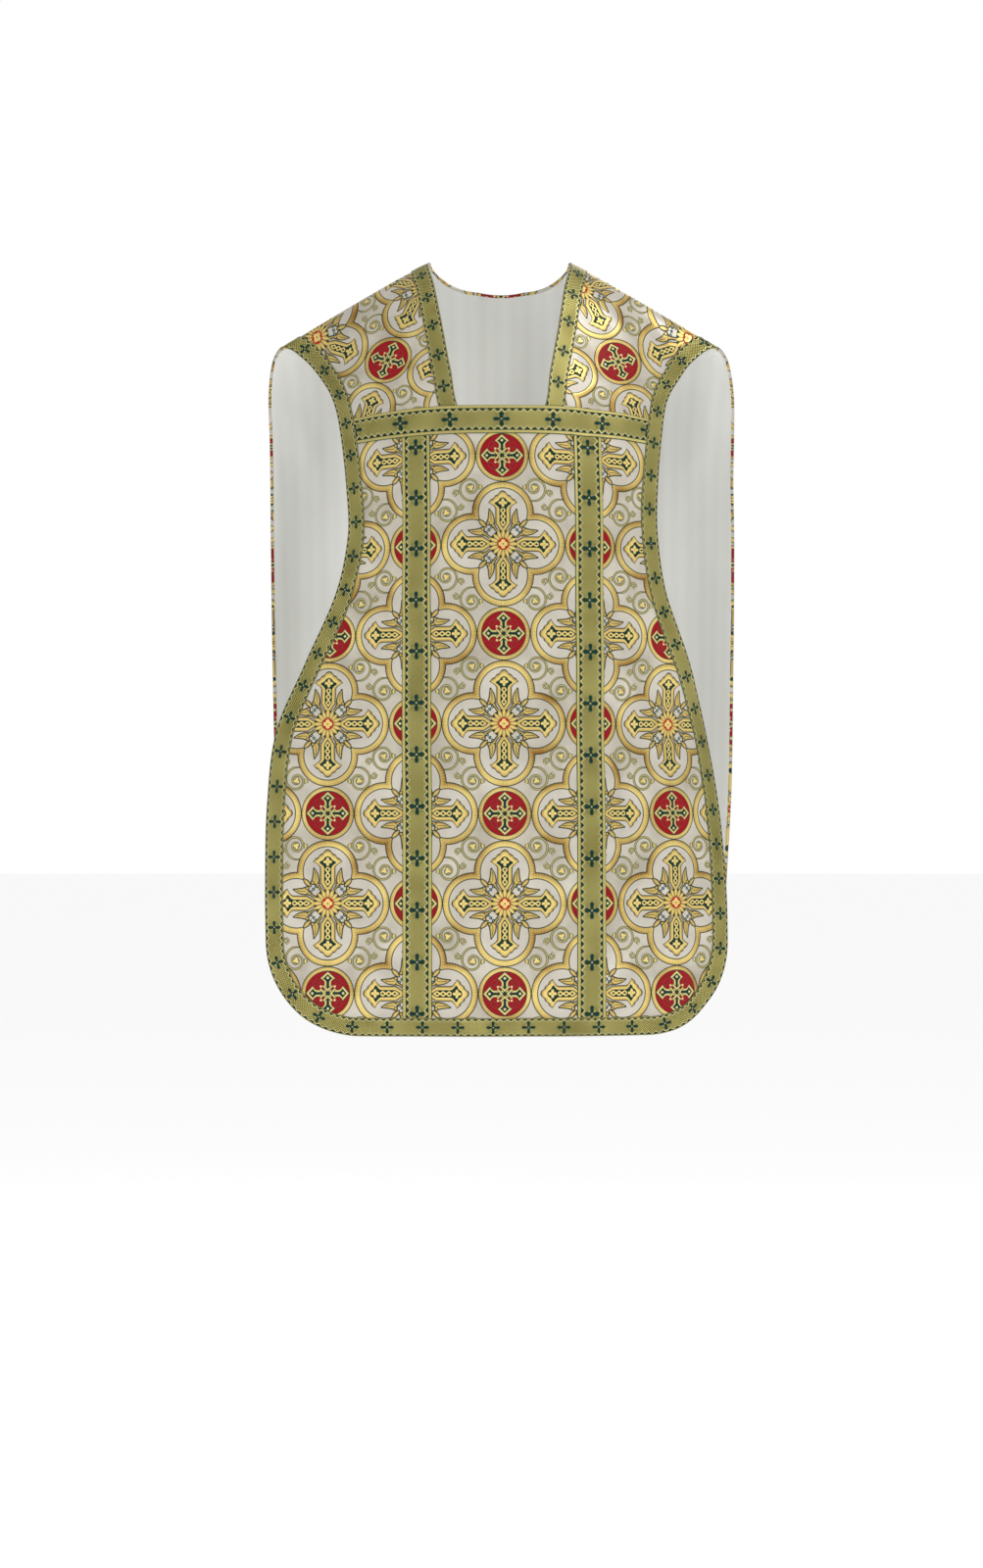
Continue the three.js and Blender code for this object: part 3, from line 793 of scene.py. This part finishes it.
# How the brocade's repeat lies on each piece, in half repeats: rows of weights for across, run and 1, and for
# their squares and product where a yoke's cloth is eased over the shoulder.
REPEAT_WIDE, REPEAT_LONG = 105.5 * MM, 107 * MM
QUATREFOIL_ABOVE_HEM = 158 * MM
FRONT_LAY = ((1 / REPEAT_WIDE, 0, 0), (0, 1 / REPEAT_LONG, -(FRONT_HEM + QUATREFOIL_ABOVE_HEM) / REPEAT_LONG))
BACK_LAY = ((1 / REPEAT_WIDE, 0, 0), (0, -1 / REPEAT_LONG, (BACK_HEM - QUATREFOIL_ABOVE_HEM) / REPEAT_LONG))


def lay(rows, weights):
    across, run = rows[..., 0], rows[..., 1]
    terms = (across, run, 1, across * across, across * run, run * run)
    return np.stack([sum(w * term for w, term in zip(row, terms)) for row in weights], axis=-1)


# Where the middles of four figures lie on each yoke, in millimetres across and along the run, and their
# places in the repeat, in half repeats.
YOKE_FIGURES = {
    -1: (((-136, -140), (1, 0)), ((-46, -194), (2, 0)), ((-223, -24), (0, 0)), ((-95, -54), (1, 1))),
    1: (((142, -139), (1, 0)), ((51, -195), (0, 0)), ((231, -17), (2, 0)), ((103, -50), (1, 1))),
}
HOLD, EVENNESS, SQUARENESS = 12.0, 1 / 3, 1.4 / 3  # how firmly the figures, the size and the angles are held
LAY_STEP, LAY_COLUMNS = 20 * MM, 9  # where on the yoke the size and the angles are judged
ROUNDS, NUDGE = 60, 1e-3  # of easing, and the small change that a weight is tried with


def eased_lay(sign):
    """The lay on a yoke. The repeat is held at the four figures, and elsewhere it is as near its own size and
    as square as the cloth over the shoulder lets it be."""
    spots, places = (np.array(part, float) for part in zip(*YOKE_FIGURES[sign]))
    spots = spots * MM
    runs = even(CHEST_SEAM, SHOULDER_SEAM, LAY_STEP)
    rows = rows_across(runs, sign * measure("neck", runs), sign * side_edge(runs), LAY_COLUMNS)
    across, run = rows.reshape(-1, 2).T
    over = (place(across + PROBE, run) - place(across - PROBE, run)) / (2 * PROBE)
    down = (place(across, run + PROBE) - place(across, run - PROBE)) / (2 * PROBE)
    cloth = np.stack([over, down], axis=-1)
    to_cloth = np.linalg.inv(np.swapaxes(cloth, 1, 2) @ cloth)
    none, one = np.zeros_like(run), np.ones_like(run)
    slope_over = np.stack([one, none, none, 2 * across, run, none])
    slope_down = np.stack([none, one, none, none, across, 2 * run])
    size = np.diag([REPEAT_WIDE, REPEAT_LONG])

    def misfit(weights):
        weights = weights.reshape(2, 6)
        slopes = np.stack([weights @ slope_over, weights @ slope_down], axis=-1).transpose(1, 0, 2)
        repeat = size @ slopes @ to_cloth @ np.swapaxes(slopes, 1, 2) @ size
        sizes = (repeat[:, (0, 1), (0, 1)] - 1) * EVENNESS
        off = (lay(spots, weights) - places) * HOLD
        return np.concatenate([off.ravel(), sizes.ravel(), repeat[:, 0, 1] * SQUARENESS])

    weights = np.zeros((2, 6))
    straight = np.column_stack([spots, np.ones(len(spots))])
    weights[:, :3] = np.linalg.lstsq(straight, places, rcond=None)[0].T
    weights, damping = weights.ravel(), 0.01
    miss = misfit(weights)
    for _ in range(ROUNDS):
        nudges = np.eye(len(weights)) * NUDGE
        change = np.stack([misfit(weights + n) - misfit(weights - n) for n in nudges], axis=-1) / (2 * NUDGE)
        normal = change.T @ change
        shift = np.linalg.solve(normal + damping * np.diag(np.diag(normal)), -change.T @ miss)
        tried = misfit(weights + shift)
        if tried @ tried < miss @ miss:
            weights, miss, damping = weights + shift, tried, damping / 3
        else:
            damping *= 4
    return weights.reshape(2, 6)


# ---------------------------------------------------------------- the garment

THICK = 1.6 * MM
SEAM_DIP = 0.5 * MM


def dipped(rows, at):
    """The outer face of a brocade piece, drawn in a little along its seams."""
    height = np.full(rows.shape[:2], THICK)
    for row in at:
        height[row] -= SEAM_DIP
    return height


CLOTH_STEP, LINING_STEP = 5 * MM, 7 * MM
EDGE_INSET = 2.2 * MM


def brocade_piece(name, rows, weights, node, seams):
    sew(name, rows, lay(rows, weights), BROCADE, 0.0, dipped(rows, seams), node)


brocade_piece("brocade_front", front_rows(CLOTH_STEP), FRONT_LAY, "front_panel", [])
brocade_piece("brocade_back", back_rows(CLOTH_STEP), BACK_LAY, "back_panel", [0])
for side, sign in (("right", -1), ("left", 1)):
    brocade_piece(f"brocade_yoke_{side}", yoke_rows(sign, CLOTH_STEP), eased_lay(sign), f"yoke_{side}", [-1])

LINING_FOOT, LINING_TOP = -1.9 * MM, -1.1 * MM
METRES = ((1, 0, 0), (0, 1, 0))


def lining_piece(name, rows, node):
    sew(name, rows, lay(rows, METRES), SATIN, LINING_FOOT, LINING_TOP, node)


lining_piece("lining_front", front_rows(LINING_STEP, EDGE_INSET), "front_lining")
lining_piece("lining_back", back_rows(LINING_STEP, EDGE_INSET), "back_lining")
for side, sign in (("right", -1), ("left", 1)):
    lining_piece(f"lining_yoke_{side}", yoke_rows(sign, LINING_STEP, EDGE_INSET), f"yoke_lining_{side}")

# The brocade is turned in under its own edge, and the lining is felled to it.
TURNING = 10 * MM
TURNING_FOOT, TURNING_TOP = -1.0 * MM, -0.1 * MM


def turning(name, path, side, weights):
    rows = strip(path, TURNING, side, np.linspace(0, 1, 3))
    sew(name, rows, lay(rows, weights), BROCADE, TURNING_FOOT, TURNING_TOP, None)


FRONT_EDGE, BACK_EDGE = edge_path(FRONT_HEM, 1, 5 * MM), edge_path(BACK_HEM, -1, 5 * MM)
NECK_EDGE = neck_path(4 * MM)
turning("turned_edge_front", FRONT_EDGE, 1, FRONT_LAY)
turning("turned_edge_back", BACK_EDGE, -1, BACK_LAY)
turning("turned_edge_neck", NECK_EDGE, 1, BACK_LAY)

# Across a galloon: shares of its width, and the height of its face there above its foot.
STRANDS = (0, 0.012, 0.035, 0.06, 0.09, 0.25, 0.5, 0.75, 0.91, 0.94, 0.965, 0.988, 1)
FACE = np.array((0.35, 0.95, 1.2, 1.05, 0.85, 1.0, 1.05, 1.0, 0.85, 1.05, 1.2, 0.95, 0.35)) * MM
GALLOON_FOOT = THICK + 0.05 * MM


def galloon_piece(name, rows, width, finish, node, first_cross=0.0, along=None):
    """A galloon hung on the brocade. Its pattern runs in step with the length of cloth along it, from the
    first cross on."""
    woven_widths[name] = width
    half = width / 2
    along = along_rows(rows)[:, None] if along is None else along
    along = np.broadcast_to(along, rows.shape[:2])
    aside = np.broadcast_to(np.array(STRANDS) * 2 - 1, rows.shape[:2])
    weave = np.stack([(along - first_cross) / half, aside], axis=-1)
    sew(name, rows, weave, finish, GALLOON_FOOT, GALLOON_FOOT + FACE, node)
    return rows


FRONT_COLUMN_CROSS = 13.5 * MM
BAND_ROWS, COLUMN_ROWS, COLUMN_CROWDING = 90, 150, 1.15
FRONT_EDGE_GALLOON = strip(FRONT_EDGE, EDGE_GALLOON, 1, STRANDS, SHOULDER_SEAM)
BACK_EDGE_GALLOON = strip(BACK_EDGE, EDGE_GALLOON, -1, STRANDS)
NECK_GALLOON = strip(NECK_EDGE, EDGE_GALLOON, 1, STRANDS)
for edge, rows, first_cross in (
    ("front_edge", FRONT_EDGE_GALLOON, 25.5 * MM),
    ("back_edge", BACK_EDGE_GALLOON, 9 * MM),
    ("neck", NECK_GALLOON, 25 * MM),
):
    galloon_piece(f"galloon_{edge}", rows, EDGE_GALLOON, NARROW, f"{edge}_braid", first_cross)


def band_rows():
    """The chest band, between the galloons of the side edges."""
    runs = BAND_FOOT + np.array(STRANDS) * WIDE_GALLOON
    half = side_edge(runs) - EDGE_GALLOON - BUTT
    rows = rows_across(runs, -half, half, BAND_ROWS)
    return rows.transpose(1, 0, 2)[::-1]


BAND = galloon_piece("galloon_chest_band", band_rows(), WIDE_GALLOON, WIDE, "chest_band")


def column_rows(sign, heads, foot):
    """A column band, from the runs of its head, one for each strand, to its foot."""
    turned = 1 if heads[0] > foot else -1
    across = sign * COLUMN_PITCH / 2 + (np.array(STRANDS) - 0.5) * WIDE_GALLOON * turned
    share = np.linspace(0, 1, COLUMN_ROWS)[:, None] ** COLUMN_CROWDING
    runs = heads * (1 - share) + foot * share
    return np.stack([np.broadcast_to(across, runs.shape), runs], axis=-1)


on_front, on_back = [FRONT_EDGE_GALLOON, BAND], [BACK_EDGE_GALLOON]
# The runs where a back column starts, from its outer edge to its inner one, which laps the neck galloon.
BACK_HEADS = np.interp(STRANDS, np.linspace(0, 1, 5), np.array([65, 48, 33, 21, 14]) * MM)
for side, sign in (("right", -1), ("left", 1)):
    front = column_rows(sign, np.full(len(STRANDS), BAND_FOOT - BUTT), FRONT_HEM + EDGE_GALLOON + BUTT)
    name = f"galloon_front_column_{side}"
    galloon_piece(name, front, WIDE_GALLOON, WIDE, f"front_column_{side}", FRONT_COLUMN_CROSS)
    heads = BACK_HEADS if sign > 0 else BACK_HEADS[::-1]
    back = column_rows(sign, heads, BACK_HEM - EDGE_GALLOON - BUTT)
    length = np.interp(back[..., 1], back[:, 6, 1], along_rows(back))
    galloon_piece(f"galloon_back_column_{side}", back, WIDE_GALLOON, WIDE, f"back_column_{side}", 0.0, length)
    on_front.append(front)
    on_back.append(back)

# Hand stitches: each is a short spindle of thread, half sunk in the cloth.
STITCH, STITCH_GAP = 2.3 * MM, 1.3 * MM
THREAD_WIDE, THREAD_HIGH = 0.24 * MM, 0.2 * MM
FELLING_PITCH = 4.6 * MM
FELLING_HEIGHT = LINING_FOOT - 0.05 * MM
OUTER_STRANDS = (3, -4)  # the strands of a galloon that its two rows of stitches run along


def stitch_row(line, height, pitch, slant=0.0):
    """Stitches along a flat line, hung in place: two ends, two sides, a top and an underside for each."""
    reach = np.concatenate([[0], np.cumsum(np.linalg.norm(np.diff(hang(line, height), axis=0), axis=1))])
    at = np.arange(pitch / 2, reach[-1], pitch)
    middle = np.stack([np.interp(at, reach, line[:, k]) for k in (0, 1)], axis=-1)
    ahead = np.stack([np.interp(at + PROBE, reach, line[:, k]) for k in (0, 1)], axis=-1) - middle
    ahead /= np.maximum(np.linalg.norm(ahead, axis=1, keepdims=True), 1e-9)
    square = np.stack([-ahead[:, 1], ahead[:, 0]], axis=-1)
    along = ahead * math.cos(slant) + square * math.sin(slant)
    aside = square * math.cos(slant) - ahead * math.sin(slant)
    end, edge, centre = along * STITCH / 2, aside * THREAD_WIDE, 0 * along
    corners = [end, -end, edge, -edge, centre, centre]
    lifts = np.array([-0.5, -0.5, 0, 0, 1, -1]) * THREAD_HIGH
    flat = np.stack([middle + corner for corner in corners], axis=1)
    return hang(flat, height + np.broadcast_to(lifts, flat.shape[:2]))


SPINDLE = ((0, 2, 4), (2, 1, 4), (1, 3, 4), (3, 0, 4), (2, 0, 5), (1, 2, 5), (3, 1, 5), (0, 3, 5))


def stitching(name, rows_of_stitches, finish):
    bm = bmesh.new()
    for stitches in rows_of_stitches:
        for points in stitches:
            verts = [bm.verts.new(point) for point in points]
            for face in SPINDLE:
                bm.faces.new([verts[k] for k in face]).smooth = True
    bmesh.ops.recalc_face_normals(bm, faces=bm.faces)
    piece = made_up(name, bm, finish)
    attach(piece, "root")


def galloon_stitches(galloons):
    height = GALLOON_FOOT + FACE[OUTER_STRANDS[0]]
    return [stitch_row(rows[:, k], height, STITCH + STITCH_GAP) for rows in galloons for k in OUTER_STRANDS]


def felling(path, side):
    line = strip(path, EDGE_INSET + 0.8 * MM, side, (0.0, 1.0))
    line = line[:, 1] if side < 0 else line[:, 0]
    return [stitch_row(line, FELLING_HEIGHT, FELLING_PITCH, 0.7)]


stitching("stitches_front", galloon_stitches(on_front), GOLD_THREAD)
stitching("stitches_back", galloon_stitches(on_back), GOLD_THREAD)
stitching("stitches_neck", galloon_stitches([NECK_GALLOON]), GOLD_THREAD)
stitching("felling_front", felling(FRONT_EDGE, 1), PALE_THREAD)
stitching("felling_back", felling(BACK_EDGE, -1), PALE_THREAD)
stitching("felling_neck", felling(NECK_EDGE, 1), PALE_THREAD)

# What each sheet is sewn to, and what is sewn on it.
YOKES = ["brocade_yoke_right", "brocade_yoke_left"]
SHEETS = (
    ("brocade_front", [], ["turned_edge_front", "stitches_front"]),
    ("brocade_back", [], ["turned_edge_back", "turned_edge_neck", "stitches_back"]),
    ("brocade_yoke_right", ["brocade_back", "brocade_front"], []),
    ("brocade_yoke_left", ["brocade_back", "brocade_front"], []),
    ("lining_front", ["brocade_front"], ["felling_front"]),
    ("lining_back", ["brocade_back"], ["felling_back", "felling_neck"]),
    ("lining_yoke_right", ["brocade_yoke_right"], []),
    ("lining_yoke_left", ["brocade_yoke_left"], []),
    ("galloon_front_edge", ["brocade_front"] + YOKES, []),
    ("galloon_back_edge", ["brocade_back"], []),
    ("galloon_neck", ["brocade_back"] + YOKES, ["stitches_neck"]),
    ("galloon_chest_band", ["brocade_front"] + YOKES, []),
    ("galloon_front_column_right", ["brocade_front"], []),
    ("galloon_front_column_left", ["brocade_front"], []),
    ("galloon_back_column_right", ["brocade_back"], []),
    ("galloon_back_column_left", ["brocade_back"], []),
)
for name, sewn_to, extras in SHEETS:
    width, length, area = flat_size(name)

# ---------------------------------------------------------------- studio

FLOOR_HEIGHT = -1.62


def floor_paint():
    """Near white, with a little light of its own."""
    material = bpy.data.materials.new("pale floor")
    material.use_nodes = True
    shader = material.node_tree.nodes["Principled BSDF"]
    shader.inputs["Base Color"].default_value = (0.95, 0.95, 0.95, 1)
    shader.inputs["Roughness"].default_value = 0.8
    shader.inputs["Emission Color"].default_value = (0.95, 0.95, 0.95, 1)
    shader.inputs["Emission Strength"].default_value = 0.54
    return material


bm = bmesh.new()
bmesh.ops.create_circle(bm, cap_ends=True, segments=96, radius=40)
bmesh.ops.translate(bm, verts=bm.verts, vec=(0, 0, FLOOR_HEIGHT))
floor = made_up("studio_floor", bm, floor_paint())

camera = bpy.data.objects.new("camera", bpy.data.cameras.new("camera"))
camera.data.lens = 93.75
camera.data.sensor_width = 36
camera.data.clip_end = 200
camera.location = (-0.0138, -5.0, -0.636)
camera.rotation_euler = (math.pi / 2, 0, 0)
bpy.context.scene.collection.objects.link(camera)
bpy.context.scene.camera = camera


def softbox(name, place_at, aim, size, watts):
    light = bpy.data.lights.new(name, "AREA")
    light.shape, light.size, light.energy = "DISK", size, watts
    lamp = bpy.data.objects.new(name, light)
    lamp.location = place_at
    lamp.rotation_euler = (Vector(aim) - Vector(place_at)).to_track_quat("-Z", "Y").to_euler()
    bpy.context.scene.collection.objects.link(lamp)


CHEST = (0, 0, -0.45)
ROOM_LIGHT = 0.45  # how brightly the white room lights the cloth; the camera sees it full white
softbox("key softbox", (1.7, -1.9, 3.3), CHEST, 1.3, 78)
softbox("fill softbox", (-2.4, -3.0, 0.2), CHEST, 2.2, 6)
softbox("rear softbox", (0.6, 3.2, 1.6), CHEST, 2.2, 26)

world = bpy.data.worlds.new("white studio")
world.use_nodes = True
tree = world.node_tree
background = tree.nodes["Background"]
background.inputs["Color"].default_value = (1, 1, 1, 1)
seen = tree.nodes.new("ShaderNodeLightPath").outputs["Is Camera Ray"]
lit = Reading(tree, seen).scaled(1.0 - ROOM_LIGHT, ROOM_LIGHT)
tree.links.new(lit.socket, background.inputs["Strength"])
bpy.context.scene.world = world
bpy.context.scene.view_settings.view_transform = "Standard"
